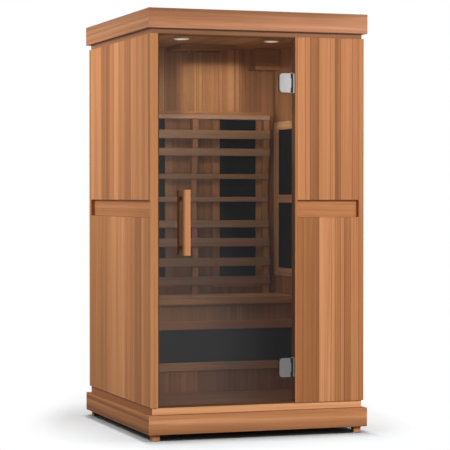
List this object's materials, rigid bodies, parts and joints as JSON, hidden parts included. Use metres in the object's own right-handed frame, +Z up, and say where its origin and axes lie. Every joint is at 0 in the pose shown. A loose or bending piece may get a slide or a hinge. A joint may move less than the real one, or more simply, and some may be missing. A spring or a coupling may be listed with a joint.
{
  "type": "infrared sauna cabin",
  "caption": "Free-standing one-person infrared sauna cabin of cedar panels with a bronze glass door, slatted backrest, bench and black carbon heaters.",
  "frame": {"origin": "on the ground, under the middle of the overall width and depth, the door handle included", "axes": "+Z up, -Y towards the door side, +X to the right seen from the front"},
  "size_m": [1.064, 1.1342, 1.95],
  "materials": {
    "cedar": "clear-oiled red cedar planks",
    "cedar_light": "smooth planed pale cedar",
    "cedar_dark": "darker heartwood cedar",
    "carbon_heater": "matt black carbon panel",
    "satin_steel": "satin",
    "bronze_glass": "bronze-tinted toughened glass",
    "black_plastic": "smooth black housing",
    "lamp_bezel": "white lamp rim"
  },
  "bodies": {
    "cabin": {"plinth_frame": "cedar", "left_wall_panel": "cedar", "right_wall_panel": "cedar", "front_wall_panel": "cedar", "back_wall_panel": "cedar", "left_lining": "cedar", "right_lining": "cedar", "back_lining": "cedar", "bench_front": "cedar", "ceiling_panel": "cedar", "crown_frame": "cedar", "floor_panel": "cedar_light", "front_left_jamb": "cedar_light", "bench_seat": "cedar_light", "neck_frame": "cedar_light", "backrest_slat_1": "cedar_light", "backrest_slat_2": "cedar_light", "backrest_slat_3": "cedar_light", "backrest_slat_4": "cedar_light", "backrest_slat_5": "cedar_light", "backrest_slat_6": "cedar_light", "backrest_slat_7": "cedar_light", "backrest_slat_8": "cedar_light", "backrest_slat_9": "cedar_light", "foot_front_left": "cedar_dark", "foot_front_right": "cedar_dark", "foot_back_left": "cedar_dark", "foot_back_right": "cedar_dark", "left_wall_band": "cedar_dark", "right_wall_band": "cedar_dark", "front_wall_band": "cedar_dark", "backrest_post_left": "cedar_dark", "backrest_post_centre": "cedar_dark", "backrest_post_right": "cedar_dark", "vent_frame": "cedar_dark", "roof_cover": "cedar_dark", "speaker_box": "cedar_dark", "left_heater_lower": "carbon_heater", "left_heater_upper": "carbon_heater", "right_heater_lower": "carbon_heater", "right_heater_upper": "carbon_heater", "back_heater_left": "carbon_heater", "back_heater_right": "carbon_heater", "calf_heater": "carbon_heater", "hinge_leaf_upper": "satin_steel", "hinge_leaf_lower": "satin_steel", "hinge_pin_upper": "satin_steel", "hinge_pin_lower": "satin_steel", "control_panel": "black_plastic", "power_box": "black_plastic", "cable_gland": "black_plastic", "downlight_left": "lamp_bezel", "downlight_right": "lamp_bezel"},
    "door": {"door_glass": "bronze_glass", "handle_outer": "cedar_light", "handle_inner": "cedar_light", "hinge_clamp_upper": "satin_steel", "hinge_clamp_lower": "satin_steel"},
    "vent": {"vent_cover": "cedar_light"}
  },
  "joints": [
    {"name": "door_hinge", "type": "hinge", "parent": "cabin", "child": "door", "pos_m": [0.162, -0.50885, 0.97], "axis": [0, 0, 1], "range_deg": [0, 100]},
    {"name": "vent_slide", "type": "slide", "parent": "cabin", "child": "vent", "axis": [1, 0, 0], "range_m": [0, 0.136]}
  ]
}
